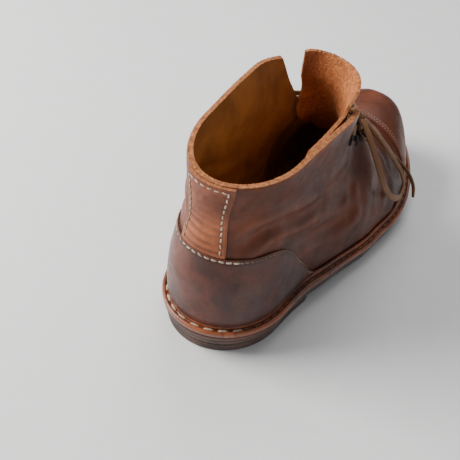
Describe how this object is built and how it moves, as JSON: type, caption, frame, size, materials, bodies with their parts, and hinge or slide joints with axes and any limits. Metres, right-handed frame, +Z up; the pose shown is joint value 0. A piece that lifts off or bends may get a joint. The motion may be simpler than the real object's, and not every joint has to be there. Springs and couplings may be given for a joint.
{
  "type": "trekking boot",
  "caption": "Low leather lace-up trekking boot for the right foot: hollow upper, counter, heel strip, hooks, suede tongue and bow, on a welted sole with a low heel.",
  "frame": {"origin": "middle of the heel's rest face, on the floor", "axes": "+Y towards the toe, +X towards the outer side of the foot, +Z up"},
  "size_m": [0.1197, 0.2886, 0.1503],
  "materials": {
    "upper_leather": "waxed, worn, semi-gloss",
    "counter_leather": "waxed, smooth, scuffed",
    "strip_leather": "waxed, creased",
    "tongue_suede": "suede",
    "lining_leather": "matt, worn",
    "welt_leather": "polished",
    "midsole_leather": "waxed edge",
    "sole_rubber": "matt",
    "black_metal": "black, worn",
    "lace_leather": "matt"
  },
  "bodies": {
    "root": {"upper": "upper_leather", "counter": "counter_leather", "heel_strip": "strip_leather", "tongue": "tongue_suede", "insole": "lining_leather", "welt": "welt_leather", "midsole": "midsole_leather", "outsole": "sole_rubber", "heel_lift": "sole_rubber", "eyelet_outer_1": "black_metal", "eyelet_inner_1": "black_metal", "hook_outer_1": "black_metal", "hook_outer_2": "black_metal", "hook_outer_3": "black_metal", "hook_inner_1": "black_metal", "hook_inner_2": "black_metal", "hook_inner_3": "black_metal", "lace_crossings": "lace_leather", "lace_knot": "lace_leather", "lace_loop_outer": "lace_leather", "lace_loop_inner": "lace_leather", "lace_end_outer": "lace_leather", "lace_end_inner": "lace_leather"}
  },
  "joints": []
}
